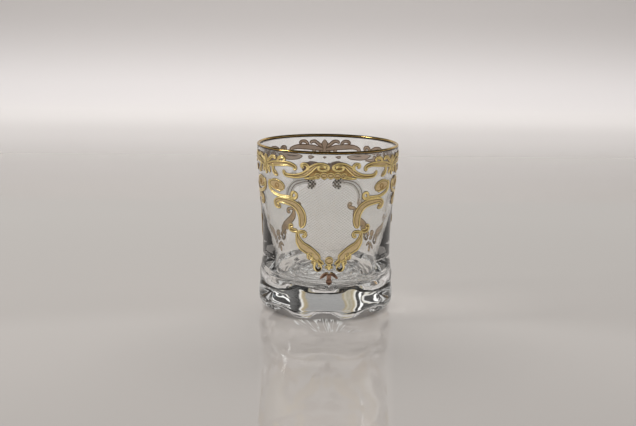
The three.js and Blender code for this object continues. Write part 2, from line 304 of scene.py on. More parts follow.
def glass_outline():
    """Radius and height along the glass, from under its middle round to the cavity's floor."""
    pad_inner = foot_radius - pad_width / 2
    outline = [(kick_radius * t, arch_height) for t in even(4)]
    for t in even(14)[1:]:
        r = kick_radius + (pad_inner - kick_radius) * t
        outline.append((r, arch_height * (1 - ease(t, 0, 1))))
    for t in even(16):
        z = bulge_height * (1 - math.cos(t * math.pi / 2))
        outline.append((wall_radius(z), z))
    lip_middle = height - lip_wall / 2
    for t in even(50)[1:]:
        z = bulge_height + (lip_middle - bulge_height) * t
        outline.append((wall_radius(z), z))
    for t in even(10)[1:-1]:
        outline.append((
            wall_radius(lip_middle) - lip_wall / 2 * (1 - math.cos(t * math.pi)),
            lip_middle + lip_wall / 2 * math.sin(t * math.pi),
        ))
    heel_top = base_thickness + heel_rise
    for t in even(36):
        z = lip_middle + (heel_top - lip_middle) * t
        outline.append((cavity_radius(z), z))
    start = Vector((cavity_radius(heel_top), heel_top))
    down = start + Vector((-0.2 * heel_rise, -0.5 * heel_rise))
    level = Vector((start.x - 0.5 * heel_rise, base_thickness + floor_dish))
    stop = Vector((start.x - 1.3 * heel_rise, base_thickness + floor_dish))
    for t in even(18)[1:]:
        point = bezier(start, down, level, stop, t)
        outline.append((point.x, point.y))
    for t in even(6)[1:]:
        outline.append((stop.x * (1 - t), base_thickness + floor_dish * (1 - t) ** 2))
    return outline


def new_group(kind, name, takes, gives):
    """A node group with named inputs and outputs: the tree, its inputs and its end."""
    tree = bpy.data.node_groups.new(name, kind)
    for in_out, sockets in (("INPUT", takes), ("OUTPUT", gives)):
        for label, socket in sockets.items():
            tree.interface.new_socket(label, in_out=in_out, socket_type="NodeSocket" + socket)
    return tree, tree.nodes.new("NodeGroupInput").outputs, tree.nodes.new("NodeGroupOutput")


def new_form(name, sizes):
    """A Geometry Nodes tree with named size inputs: the tree, its inputs and its end."""
    takes = {"Geometry": "Geometry", **sizes}
    return new_group("GeometryNodeTree", name, takes, {"Geometry": "Geometry"})


def shape_by(tree, start, name, values):
    """The plain mesh that the tree makes from a starting object, as a new piece at the origin."""
    form = start.modifiers.new("form", "NODES")
    form.node_group = tree
    for entry in tree.interface.items_tree:
        if entry.in_out == "INPUT" and entry.name in values:
            form[entry.identifier] = values[entry.name]
    ready = start.evaluated_get(bpy.context.evaluated_depsgraph_get())
    mesh = bpy.data.meshes.new_from_object(ready)
    start.modifiers.remove(form)
    bpy.data.objects.remove(start)
    mesh.name = name
    piece = bpy.data.objects.new(name, mesh)
    scene.collection.objects.link(piece)
    return piece


def drawn_curve(name, splines):
    """A curve object with one straight-edged spline for each list of points, in millimetres."""
    curve = bpy.data.curves.new(name, "CURVE")
    curve.dimensions = "3D"
    for points in splines:
        spline = curve.splines.new("POLY")
        spline.points.add(len(points) - 1)
        for spot, (x, y, *rest) in zip(spline.points, points):
            spot.co = (x * MM, y * MM, 0, 1)
            spot.radius = rest[0] * MM if rest else 1
    drawn = bpy.data.objects.new(name, curve)
    scene.collection.objects.link(drawn)
    return drawn


def capture(tree, geometry, **values):
    """Keeps values of a curve's points for use on the mesh that is made from it."""
    made = add(tree, "GeometryNodeCaptureAttribute", {"Geometry": geometry})
    for label, (kind, socket) in values.items():
        made.capture_items.new(kind, label)
        tree.links.new(socket, made.inputs[label])
    return made.outputs


def round_axis(tree, radius, angle, rise):
    """The place at a radius from the axis, an angle from the front and a height."""
    x = product(tree, radius, calc(tree, "SINE", angle))
    y = product(tree, radius, calc(tree, "COSINE", angle), -1.0)
    return flow(tree, "ShaderNodeCombineXYZ", {"X": x, "Y": y, "Z": rise})


turned_form, size, end = new_form(
    "turned_form",
    {
        "Steps": "Int", "Flutes": "Float", "Flute Turn": "Float", "Flute Depth": "Float",
        "Flute Fade": "Float", "Flute Top": "Float", "Scallop": "Float", "Arch Height": "Float",
        "Arch Top": "Float", "Arch Spread": "Float", "Bulge Radius": "Float", "Foot Radius": "Float",
        "Pad Share": "Float", "Finish": "Material",
    },
)
tree = turned_form
ring = flow(tree, "GeometryNodeCurvePrimitiveCircle", {"Resolution": size["Steps"], "Radius": 1.0})
round_share = add(tree, "GeometryNodeSplineParameter").outputs["Factor"]
ring = capture(tree, ring, turn=("FLOAT", round_share))
side = capture(tree, size["Geometry"], place=("VECTOR", flow(tree, "GeometryNodeInputPosition")))
swept = flow(tree, "GeometryNodeCurveToMesh", {"Curve": ring["Geometry"], "Profile Curve": side["Geometry"]})
outline_place = add(tree, "ShaderNodeSeparateXYZ", {0: side["place"]}).outputs
radius, rise = outline_place["X"], outline_place["Y"]
angle = calc(tree, "MULTIPLY_ADD", ring["turn"], math.tau, size["Flute Turn"])
wave = calc(tree, "COSINE", product(tree, ring["turn"], math.tau, size["Flutes"]))
wave = calc(tree, "MULTIPLY_ADD", wave, 0.5, 0.5)
scallop = calc(tree, "POWER", wave, size["Scallop"])
arch = ranged(tree, wave, size["Pad Share"], 1.0, between="SMOOTHSTEP")
reach_start = product(tree, size["Foot Radius"], 0.8)
reach = ranged(tree, radius, reach_start, size["Foot Radius"], between="SMOOTHSTEP")
fade = ranged(tree, rise, size["Flute Fade"], size["Flute Top"], 1.0, 0.0, "SMOOTHSTEP")
to_top = ranged(tree, rise, 0.0, size["Arch Top"], 1.0, 0.0)
under = calc(tree, "LESS_THAN", radius, size["Foot Radius"])
lift = product(tree, to_top, size["Arch Height"])
under_lift = calc(tree, "MAXIMUM", calc(tree, "SUBTRACT", size["Arch Height"], rise), 0.0)
lift = flow(tree, "ShaderNodeMix", {"Factor": under, "A": lift, "B": under_lift})
spread = product(tree, calc(tree, "SUBTRACT", size["Bulge Radius"], radius), size["Arch Spread"])
spread = product(tree, spread, arch, reach, to_top)
press = product(tree, reach, fade, scallop, size["Flute Depth"])
radius = calc(tree, "SUBTRACT", calc(tree, "ADD", radius, spread), press)
rise = calc(tree, "MULTIPLY_ADD", lift, arch, rise)
pressed = round_axis(tree, radius, angle, rise)
moved = flow(tree, "GeometryNodeSetPosition", {"Geometry": swept, "Position": pressed})
joined = flow(tree, "GeometryNodeMergeByDistance", {"Geometry": moved, "Distance": weld * MM})
outward = flow(tree, "GeometryNodeFlipFaces", {0: joined})
smooth = flow(tree, "GeometryNodeSetShadeSmooth", {"Geometry": outward})
whole = flow(tree, "GeometryNodeRealizeInstances", {"Geometry": smooth})
ended = flow(tree, "GeometryNodeSetMaterial", {"Geometry": whole, "Material": size["Finish"]})
feed(tree, end, {"Geometry": ended})

clear_glass, tree, surface = new_finish("clear_glass")
place = add(tree, "ShaderNodeTexCoord").outputs["Object"]
swell = noise(tree, place, 90.0)
bump = flow(tree, "ShaderNodeBump", {"Height": swell, "Strength": 0.05, "Distance": 2 * MM})

# Uneven rings in the cavity's floor, which fade out up the wall.
ripple_radius = 33 * MM
ripple_low = 16.5 * MM
spot = own_place(tree)
off_axis = span(tree, spot["X"], spot["Y"])
near_floor = ranged(tree, spot["Z"], 17 * MM, 24 * MM, 1.0, 0.0)
in_cavity = product(
    tree,
    near_floor,
    calc(tree, "LESS_THAN", off_axis, ripple_radius),
    calc(tree, "GREATER_THAN", spot["Z"], ripple_low),
)
around = product(tree, calc(tree, "ARCTAN2", spot["X"], spot["Y"]), 6 * MM)
ring_place = flow(tree, "ShaderNodeCombineXYZ", {"X": off_axis, "Y": around})
ripple = product(tree, noise(tree, ring_place, 260.0), in_cavity)
bump = flow(tree, "ShaderNodeBump", {"Height": ripple, "Strength": 1.0, "Distance": 6 * MM, "Normal": bump})
clear = (0.985, 0.99, 0.985, 1)
feed(tree, surface, {"Base Color": clear, "Roughness": 0.0, "IOR": 1.5, "Transmission Weight": 1.0})
feed(tree, surface, {"Normal": bump})

glass_body = shape_by(
    turned_form,
    drawn_curve("glass_outline", [glass_outline()]),
    "glass_body_piece",
    {
        "Steps": steps_round, "Flutes": float(flute_count), "Flute Turn": flute_turn,
        "Flute Depth": flute_depth * MM, "Flute Fade": flute_fade * MM, "Flute Top": flute_top * MM,
        "Scallop": 1.0, "Arch Height": arch_height * MM, "Arch Top": arch_top * MM,
        "Arch Spread": arch_spread, "Bulge Radius": bulge_radius * MM,
        "Foot Radius": (foot_radius - pad_width / 2) * MM, "Pad Share": pad_share, "Finish": clear_glass,
    },
)
glass_body.visible_shadow = False
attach(glass_body, "root")
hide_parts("glass_body")

# GILT LIP
# A band of bright gold, brushed round the lip and fired on. It wraps over the top of the lip and
# ends in a clean line a little way down the outside, and a little lower inside.
band_hem = 1.1
band_inner_hem = 1.7
band_film = 0.12
band_sink = 0.03
lip_middle = (wall_radius(height - lip_wall / 2) - lip_wall / 2, height - lip_wall / 2)
band_outline = [(wall_radius(height - band_hem) - band_sink, height - band_hem)]
band_outline.append((wall_radius(height - band_hem) + band_film, height - band_hem))
for depth, turns in ((band_film, even(14)), (-band_sink, even(14)[::-1])):
    reach = lip_wall / 2 + depth
    around = [
        (lip_middle[0] + reach * math.cos(math.pi * t), lip_middle[1] + reach * math.sin(math.pi * t))
        for t in turns
    ]
    inner_end = (cavity_radius(height - band_inner_hem) - depth, height - band_inner_hem)
    band_outline += around + [inner_end] if depth > 0 else [inner_end] + around
band_outline.append(band_outline[0])

# Grain of fired gold: a soft cloudy change between two golds, and the cloud that drives it.
gold_grain, given, end = new_group(
    "ShaderNodeTree",
    "gold_grain",
    {"Dark": "Color", "Light": "Color", "Scale": "Float"},
    {"Colour": "Color", "Cloud": "Float"},
)
tree = gold_grain
cloud = noise(tree, add(tree, "ShaderNodeTexCoord").outputs["Object"], given["Scale"], 4.0)
light_share = ranged(tree, cloud, 0.3, 0.7, between="SMOOTHSTEP")
feed(tree, end, {"Colour": mixed(tree, light_share, given["Dark"], given["Light"]), "Cloud": cloud})


def grained(tree, dark, light, scale):
    """Colour and cloud of the gold's grain, placed in a material with its own values."""
    feeds = {"Dark": (*dark, 1), "Light": (*light, 1), "Scale": scale}
    placed = add(tree, "ShaderNodeGroup", feeds, node_tree=gold_grain).outputs
    return placed["Colour"], placed["Cloud"]


bright_gold, tree, surface = new_finish("bright_gold")
colour, cloud = grained(tree, (0.62, 0.37, 0.10), (0.95, 0.70, 0.30), 300.0)
# The band's colour darkens along its lower part, outside and inside the lip: painted shade.
hem_shade_dark = (0.05, 0.026, 0.01, 1)
painted_hem_shade = ranged(tree, own_place(tree)["Z"], (height - 0.5) * MM, (height - 0.9) * MM)
rough = ranged(tree, cloud, 0.0, 1.0, 0.1, 0.22)
feed(tree, surface, {"Base Color": mixed(tree, painted_hem_shade, colour, hem_shade_dark), "Roughness": rough, "Metallic": 1.0})
rim_band = shape_by(
    turned_form,
    drawn_curve("band_outline", [band_outline]),
    "rim_band_piece",
    {
        "Steps": steps_round, "Foot Radius": 1 * MM, "Flute Top": 1 * MM, "Arch Top": 1 * MM, "Scallop": 1.0,
        "Finish": bright_gold,
    },
)
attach(rim_band, "root")
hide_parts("rim_band")

# GILT SCROLLS
# Raised gold laid on the wall in strokes and fired. Each stroke has a fine polished ridge along
# both edges and a matt middle, with dark lines of painted shade along its edge and inside the
# ridge, and through the glass its back shows as a dull pinkish brown.
panels = 3
half_panel = 42
sheet_step = half_panel / 100
ridge_in = 0.5
ridge_spread = 0.5
ridge_height = 0.16
edge_rounding = 0.4
stroke_step = 0.28
stroke_sides = 28


def hump(tree, value, middle, spread):
    """One where the value is the middle, falling to nought at the spread on both sides."""
    off_middle = calc(tree, "DIVIDE", calc(tree, "SUBTRACT", value, middle), spread)
    left = calc(tree, "SUBTRACT", 1.0, product(tree, off_middle, off_middle))
    return calc(tree, "MAXIMUM", left, 0.0)


gilt_form, size, end = new_form(
    "gilt_form",
    {
        "Panels": "Int", "Half Panel": "Float", "Film": "Float", "Ridge": "Float", "Sink": "Float",
        "Step": "Float", "Sides": "Int", "Gold": "Material", "Gold Back": "Material",
    },
)
tree = gilt_form
line = flow(
    tree, "GeometryNodeResampleCurve", {"Curve": size["Geometry"], "Length": size["Step"]}, mode="LENGTH"
)
run = add(tree, "GeometryNodeSplineParameter").outputs["Length"]
whole_run = add(tree, "GeometryNodeSplineLength").outputs["Length"]
line = capture(
    tree,
    line,
    half=("FLOAT", flow(tree, "GeometryNodeInputRadius")),
    place=("VECTOR", flow(tree, "GeometryNodeInputPosition")),
    along=("VECTOR", flow(tree, "GeometryNodeInputTangent")),
    to_end=("FLOAT", calc(tree, "MINIMUM", run, calc(tree, "SUBTRACT", whole_run, run))),
)
ring = flow(tree, "GeometryNodeCurvePrimitiveCircle", {"Resolution": size["Sides"], "Radius": 1.0})
ring = capture(tree, ring, spot=("VECTOR", flow(tree, "GeometryNodeInputPosition")))
swept = flow(
    tree,
    "GeometryNodeCurveToMesh",
    {"Curve": line["Geometry"], "Profile Curve": ring["Geometry"], "Fill Caps": True},
)
spot = add(tree, "ShaderNodeSeparateXYZ", {0: ring["spot"]}).outputs
place = add(tree, "ShaderNodeSeparateXYZ", {0: line["place"]}).outputs
along = add(tree, "ShaderNodeSeparateXYZ", {0: line["along"]}).outputs
end_share = calc(tree, "MINIMUM", calc(tree, "DIVIDE", line["to_end"], line["half"]), 1.0)
short = calc(tree, "SUBTRACT", 1.0, end_share)
cap = calc(tree, "MAXIMUM", calc(tree, "SUBTRACT", 1.0, product(tree, short, short)), 0.0)
half_now = product(tree, line["half"], calc(tree, "SQRT", cap))
offset = product(tree, half_now, spot["X"])
across = calc(tree, "SUBTRACT", place["X"], product(tree, along["Y"], offset))
down = calc(tree, "MULTIPLY_ADD", along["X"], offset, place["Y"])
top = ranged(tree, spot["Y"], 0.0, edge_rounding, between="SMOOTHSTEP")
from_edge = product(tree, half_now, calc(tree, "SUBTRACT", 1.0, calc(tree, "ABSOLUTE", spot["X"])))
ridge = product(tree, hump(tree, from_edge, ridge_in * MM, ridge_spread * MM), top)
thickness = calc(tree, "ADD", size["Film"], size["Sink"])
stand = calc(tree, "MULTIPLY_ADD", top, thickness, product(tree, size["Sink"], -1.0))
stand = calc(tree, "MULTIPLY_ADD", ridge, size["Ridge"], stand)
rise = calc(tree, "ADD", down, height * MM)
flare = ranged(
    tree, rise, waist_top * MM, height * MM, waist_radius * MM, rim_radius * MM, "SMOOTHSTEP"
)
belly_reach = (bulge_radius - waist_radius) * MM
belly = ranged(tree, rise, bulge_height * MM, waist_bottom * MM, belly_reach, 0.0, "SMOOTHSTEP")
radius = calc(tree, "ADD", calc(tree, "ADD", flare, belly), stand)
half_turn = calc(tree, "DIVIDE", math.pi, size["Panels"])
angle = product(tree, calc(tree, "DIVIDE", across, size["Half Panel"]), half_turn)
laid = round_axis(tree, radius, angle, rise)
kept = flow(
    tree, "GeometryNodeStoreNamedAttribute", {"Geometry": swept, "Name": "from_edge", "Value": from_edge}
)
moved = flow(tree, "GeometryNodeSetPosition", {"Geometry": kept, "Position": laid})
joined = flow(tree, "GeometryNodeMergeByDistance", {"Geometry": moved, "Distance": weld * MM})
smooth = flow(tree, "GeometryNodeSetShadeSmooth", {"Geometry": joined})
fronted = flow(tree, "GeometryNodeSetMaterial", {"Geometry": smooth, "Material": size["Gold"]})
under = flow(tree, "FunctionNodeCompare", {0: spot["Y"], 1: -0.001}, operation="LESS_THAN")
backed = flow(
    tree,
    "GeometryNodeSetMaterial",
    {"Geometry": fronted, "Selection": under, "Material": size["Gold Back"]},
)
panel_step = calc(tree, "DIVIDE", math.tau, size["Panels"])
panel_turn = product(tree, flow(tree, "GeometryNodeInputIndex"), panel_step)
copies = flow(
    tree,
    "GeometryNodeInstanceOnPoints",
    {
        "Points": flow(tree, "GeometryNodePoints", {"Count": size["Panels"]}),
        "Instance": backed,
        "Rotation": flow(tree, "ShaderNodeCombineXYZ", {"Z": panel_turn}),
    },
)
feed(tree, end, {"Geometry": flow(tree, "GeometryNodeRealizeInstances", {"Geometry": copies})})

# A line that runs a way in from the stroke's edge, for the ridges, painted shade lines and outlines.
stroke_line, given, end = new_group(
    "ShaderNodeTree",
    "stroke_line",
    {"From Edge": "Float", "Middle": "Float", "Spread": "Float"},
    {"Share": "Float"},
)
feed(stroke_line, end, {"Share": hump(stroke_line, given["From Edge"], given["Middle"], given["Spread"])})


def line_share(tree, from_edge, middle, spread):
    feeds = {"From Edge": from_edge, "Middle": middle * MM, "Spread": spread * MM}
    return flow(tree, "ShaderNodeGroup", feeds, node_tree=stroke_line)


def edge_distance(tree):
    """How far in from the stroke's edge a point of the surface is."""
    return add(tree, "ShaderNodeAttribute", attribute_name="from_edge").outputs["Fac"]


raised_gold, tree, surface = new_finish("raised_gold")
matt, cloud = grained(tree, (0.70, 0.53, 0.29), (0.82, 0.65, 0.38), 900.0)
polished = (1.0, 0.8, 0.34, 1)
# Dark brown for the lines of painted shade along the stroke's edge and inside the ridge.
shaded = (0.20, 0.11, 0.03, 1)
burnt = (0.27, 0.16, 0.11, 1)
from_edge = edge_distance(tree)
ridge_share = line_share(tree, from_edge, 0.65, 0.45)
edge_shade_line = line_share(tree, from_edge, 0.0, 0.3)
inner_shade_line = line_share(tree, from_edge, 1.25, 0.26)
colour = mixed(tree, ridge_share, matt, polished)
colour = mixed(tree, calc(tree, "ADD", edge_shade_line, inner_shade_line), colour, shaded)
on_drop = ranged(tree, own_place(tree)["Z"], 31 * MM, 29.5 * MM)
colour = mixed(tree, on_drop, colour, burnt)
relief = calc(tree, "MULTIPLY_ADD", cloud, 0.25, ridge_share)
bump = flow(tree, "ShaderNodeBump", {"Height": relief, "Strength": 0.5, "Distance": 0.3 * MM})
rough = ranged(tree, ridge_share, 0.0, 1.0, 0.4, 0.2)
feed(tree, surface, {"Base Color": colour, "Roughness": rough, "Metallic": 1.0, "Normal": bump})

# The back of the gold is dull near the lip and pale where the paint is thin. There the back of
# the shoulder leaf is darkened with painted shade, and the hook of the C-scroll has a fine check.
gold_back, tree, surface = new_finish("gold_back")
colour, cloud = grained(tree, (0.77, 0.53, 0.30), (0.96, 0.70, 0.40), 500.0)
dull = (0.62, 0.47, 0.36, 1)
pale = (1.0, 0.97, 0.94, 1)
painted_leaf_shade = (0.22, 0.14, 0.09, 1)
brown = (0.15, 0.09, 0.05, 1)
black = (0.02, 0.015, 0.01, 1)
thin_inset = 1.1 * MM
leaf_low = 73.5 * MM
leaf_start = 0.6 * math.pi / panels
hook_start = 0.73 * math.pi / panels
check_size = 1.25 * MM
spot = own_place(tree)
thin_top = ranged(tree, spot["Z"], 84 * MM, 82 * MM)
thin_paint = product(tree, ranged(tree, spot["Z"], 55 * MM, 61 * MM), thin_top)
colour = mixed(tree, ranged(tree, spot["Z"], 81 * MM, 85 * MM), colour, dull)
colour = mixed(tree, thin_paint, colour, pale)
line_in = calc(tree, "MULTIPLY_ADD", thin_paint, -thin_inset, edge_distance(tree))
outlined = line_share(tree, line_in, 0.35, 0.35)
round_angle = calc(tree, "ARCTAN2", spot["X"], product(tree, spot["Y"], -1.0))
off_panel = calc(tree, "PINGPONG", round_angle, math.pi / panels)
on_leaf = calc(tree, "GREATER_THAN", spot["Z"], leaf_low)
leaf_back = product(tree, on_leaf, calc(tree, "GREATER_THAN", off_panel, leaf_start), thin_paint)
in_hook = product(tree, calc(tree, "GREATER_THAN", off_panel, hook_start), thin_paint)
check_place = flow(
    tree, "ShaderNodeCombineXYZ", {"X": product(tree, round_angle, rim_radius * MM), "Y": spot["Z"]}
)
checks = add(tree, "ShaderNodeTexChecker", {"Vector": check_place, "Scale": 1 / check_size}).outputs["Fac"]
checked = product(tree, checks, in_hook, calc(tree, "SUBTRACT", 1.0, on_leaf))
# The back of the shoulder leaf takes a dark painted shade.
colour = mixed(tree, leaf_back, colour, painted_leaf_shade)
colour = mixed(tree, outlined, colour, brown)
colour = mixed(tree, checked, colour, black)
rough = ranged(tree, cloud, 0.0, 1.0, 0.3, 0.45)
feed(tree, surface, {"Base Color": colour, "Roughness": rough, "Metallic": 1.0})


def plain_gold(name, dark, light):
    made, tree, surface = new_finish(name)
    colour = grained(tree, dark, light, 600.0)[0]
    feed(tree, surface, {"Base Color": colour, "Roughness": 0.4, "Metallic": 1.0})
    return made


brown_gold = plain_gold("brown_gold", (0.42, 0.26, 0.10), (0.60, 0.40, 0.17))
pale_gold = plain_gold("pale_gold", (0.86, 0.82, 0.78), (0.97, 0.94, 0.90))
# A near-black gold that paints shadow in the volutes' eyes.
painted_shadow_dark = plain_gold("painted_shadow_dark", (0.03, 0.02, 0.01), (0.06, 0.04, 0.02))


def curl(middle, reach, start, stop, shrink=0.4, flatten=1.0):
    """Points of a curl that winds round a middle between two angles, in turns."""
    points = []
    for t in even(math.ceil(abs(stop - start) * 8)):
        swing = math.tau * (start + (stop - start) * t)
        now = reach * (1 + (shrink - 1) * t)
        points.append(
            (middle[0] + now * math.cos(swing) / sheet_step, middle[1] - now * flatten * math.sin(swing))
        )
    return points


def through(a, b, c, d, t):
    """A place between b and c on the smooth line through four points."""
    square = 2 * a - 5 * b + 4 * c - d
    cube = 3 * b - a - 3 * c + d
    return 0.5 * (2 * b + (c - a) * t + square * t * t + cube * t ** 3)


def stroke(points, widths, fineness=8):
    """A smooth line through points on the sheet, with half its width at each. Points are across in
    hundredths of half a panel and down in millimetres below the rim; the last width is kept."""
    spread = 0.4
    spots = [Vector((x * sheet_step, -y)) for x, y in points]
    spots = [spots[0]] + spots + [spots[-1]]
    line = []
    count = len(points) - 1
    for i in range(count * fineness + 1):
        k = min(i // fineness, count - 1)
        t = i / fineness - k
        spot = through(*spots[k : k + 4], t)
        low, high = (widths[min(n, len(widths) - 1)] for n in (k, k + 1))
        width = low + (high - low) * t + spread
        line.append((spot.x, spot.y, width / 2))
    return line


def bead(middle, width):
    """A painted dot, as a line as long as it is wide."""
    reach = width / 2 / sheet_step
    return stroke([(middle[0] - reach, middle[1]), (middle[0] + reach, middle[1])], [width, width])


def as_drawn(points):
    return points


def flipped(points):
    return [(-x, y) for x, y in points]


def lay_gold(name, strokes, nodes, film=0.22, sink=0.03, gold=raised_gold, back=gold_back):
    """A piece with the strokes on every panel, in place of the nodes."""
    piece = shape_by(
        gilt_form,
        drawn_curve(name + "_drawing", strokes),
        name,
        {
            "Panels": panels, "Half Panel": half_panel * MM, "Film": film * MM, "Ridge": ridge_height * MM,
            "Sink": sink * MM, "Step": stroke_step * MM, "Sides": stroke_sides, "Gold": gold,
            "Gold Back": back,
        },
    )
    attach(piece, "root")
    if nodes:
        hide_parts(*nodes)


def each_panel(node):
    return [f"{node}_{panel + 1}" for panel in range(panels)]


# Crest: two facing volutes that run out into long arms, over a garland of leaves.
crest = [bead((0, 13.4), 4)]
crest_ground = [stroke([(-30, 12.6), (0, 12.2), (30, 12.6)], [3, 5, 3])]
crest_arm = [(64, 11.4), (64.6, 12.9), (60.5, 14.3), (50, 14.5), (41, 14), (32.6, 12.6)]
crest_arm += [(26, 10.2), (20, 8.1)] + curl((10.7, 9.1), 3.9, 0.17, 1.6, 0.3, 0.56)
crest_hook = [(30.4, 11), (29.6, 8.7), (32.6, 7.3), (37.2, 7.6), (37.4, 8.8), (34.6, 9.2)]
for turned in (as_drawn, flipped):
    crest += [
        stroke(turned(crest_arm), [1.9, 2, 2.2, 2.4, 2.8, 3.4, 3.6, 2.8, 2.1, 1.8, 1.6, 1.5, 1.4]),
        stroke(turned(crest_hook), [1.8, 1.8, 1.9, 1.8, 1.7, 1.5]),
        bead(turned([(8.7, 13.5)])[0], 4.1),
        bead(turned([(17, 13.6)])[0], 3.7),
        stroke(turned([(17, 14.3), (26, 15), (35, 15.4)]), [2.4, 1.6, 0.5]),
    ]
    crest_ground.append(stroke(turned([(4, 9.2), (16, 9)]), [4.4, 4.4]))
lay_gold("crest_gilding", crest, each_panel("crest"))
lay_gold("crest_ground_gilding", crest_ground, [], film=0.1, sink=0.02, gold=brown_gold, back=pale_gold)

# Palmette between two panels: a bud with hooked arms, and with leaves and curls about it.
bud = [(100, 15.8), (100, 12.6), (100, 9), (100, 6.2), (100, 3.6)]
palmette = [stroke(bud, [0.8, 3.2, 2.2, 4, 0.8])]
for turned in (as_drawn, flipped):
    for points, widths in (
        ([(1, 10), (9, 9.4), (17.4, 8.6), (31, 8), (42, 7.8), (50.5, 8.6), (53, 10), (49.8, 10.9)],
         [1.6, 2.6, 3.2, 3.2, 2.7, 2.2, 2, 1.9]),
        ([(3, 8.2), (9, 6.4), (14, 4.8), (19.5, 4.9), (20, 6.4)], [1.6, 2, 2, 1.8]),
        ([(2, 10.4), (6.4, 12.2), (8.6, 14.6)], [1.6, 2.4, 0.9]),
        ([(16.4, 8.5), (15.6, 11.2), (17.5, 13.4), (22, 14.4), (24.5, 13.9)], [1.6, 2, 2.6, 3, 2.2]),
        ([(24, 7), (28, 4.8), (34, 4.4), (37, 5.4), (34, 6)], [1.4, 1.8, 1.7, 1.5]),
    ):
        palmette.append(stroke([(bud[0][0] + x, y) for x, y in turned(points)], widths))
lay_gold("palmette_gilding", palmette, each_panel("palmette"))

# Sides of the frame: above, a shoulder leaf on its line and the great C-scroll; below, the neck
# curls, the broad S-scroll with its leaves, and a round volute. A spiral is drawn on the leaf.
leaf_line = [(92, 18.4), (95, 20.5), (94, 23.2), (89.5, 25), (83, 26.2), (75, 27), (66, 27.1), (57, 27)]
leaf_line += curl((50.5, 25.5), 2.1, -0.2, -1.15, 0.6)
c_scroll = [
    (73.4, 32.4), (76.8, 33.2), (81.4, 32.9), (82.8, 31.2), (78, 29.9), (71, 29.6), (63, 29.7),
    (53.5, 30.4), (47, 31.8), (42.3, 34), (39.2, 36.9), (38.5, 40.3), (39.6, 42.7), (41.4, 44.6),
]
leaf_spiral = [(90, 21.6), (84, 23)] + curl((77.5, 21.3), 1.9, -0.3, 1.0, 0.4)
neck_curl = [(46.5, 47.2), (40.5, 46.7), (35.6, 47), (34.3, 48.3), (36, 49.3), (40, 49.2)]
s_scroll = [
    (47, 46.8), (46.4, 49.4), (44.4, 52.4), (39.5, 55), (33.5, 56.4), (26.5, 58.1), (20, 60.4), (13.6, 63),
]
volute = [(21, 63.4)] + curl((15.7, 66.8), 2.4, 0.12, -0.78, 0.72)
for hand, turned in (("right", as_drawn), ("left", flipped)):
    upper = [
        stroke(turned([(93.4, 20.6), (80, 20.8), (70, 21.9), (65.8, 23.2)]), [4.4, 7, 6.4, 3.8]),
        stroke(turned(leaf_line), [1.2, 1.9, 2, 2, 1.9, 1.8, 1.8, 1.8, 1.7, 1.7, 1.6, 1.5]),
        stroke(turned(c_scroll), [2.6, 3, 3.2, 3.3, 3.4, 3.6, 3.9, 4.2, 4.5, 4.8, 4.9, 4.7, 4, 2.4]),
    ]
    lay_gold(f"upper_scroll_{hand}_gilding", upper, each_panel(f"upper_scroll_{hand}"))
    spiral = [stroke(turned(leaf_spiral), [0.2, 0.3, 0.3])]
    lay_gold(f"leaf_line_{hand}_gilding", spiral, [], film=0.36, gold=brown_gold)
    lower = [
        stroke(turned([(46, 46.2), (53, 46.4), (58, 45.4), (58.4, 44.4)]), [2, 2.6, 2.8, 2.6]),
        stroke(turned([(58.6, 45.6), (57.5, 43.9), (52.6, 43.9)]), [2.4, 2.6, 2.4]),
        stroke(turned(neck_curl), [1.6, 2, 2, 2, 1.9, 1.6]),
        stroke(turned(s_scroll), [1.8, 2.4, 4.4, 5.4, 5.5, 5.3, 5.2, 4.6]),
        stroke(turned([(26.2, 58.4), (28, 63)]), [4.2, 4.6]),
        stroke(turned([(17, 62.4), (11.4, 64.2), (7.4, 65)]), [3, 2.4, 1.4]),
        bead(turned([(21.4, 64)])[0], 3.6),
        stroke(turned(volute), [1.8, 1.4, 1.2, 1.1, 1]),
        bead(turned([(14.6, 66.3)])[0], 1.3),
    ]
    lay_gold(f"lower_scroll_{hand}_gilding", lower, each_panel(f"lower_scroll_{hand}"))

# Foot of the frame: a boss on a short stem, and under it a drop of two leaves and a bead. In the
# eyes of the round volutes beside the stem lie dark crescents of painted shadow.
finial = [bead((0, 63), 5), stroke([(0, 64.6), (0, 66.8), (0, 68.6)], [2.4, 2, 1.4])]
finial += [bead((3.6, 66.7), 2), bead((-3.6, 66.7), 2)]
lay_gold("finial_gilding", finial, each_panel("finial"))
# Dark crescents of painted shadow in the volutes' eyes, dark on both faces.
eye = [(11.8, 66.8), (12.6, 68), (15, 68.6), (17.6, 68.1), (18.4, 66.8)]
painted_eye_shadows = [stroke(turned(eye), [0.5, 0.9, 1, 0.9, 0.5]) for turned in (as_drawn, flipped)]
lay_gold("painted_eye_shadow_gilding", painted_eye_shadows, [], film=0.3, gold=painted_shadow_dark, back=painted_shadow_dark)
drop_leaf = [(1, 70), (6.5, 71.2), (12.2, 73.4)]
drop = [stroke(turned(drop_leaf), [1.4, 1.8, 0.7]) for turned in (as_drawn, flipped)]
drop += [stroke([(0, 70.4), (0, 72.6), (0, 74.4)], [2, 2.2, 2.2]), bead((0, 75), 3.6)]
lay_gold("drop_gilding", drop, each_panel("drop"))

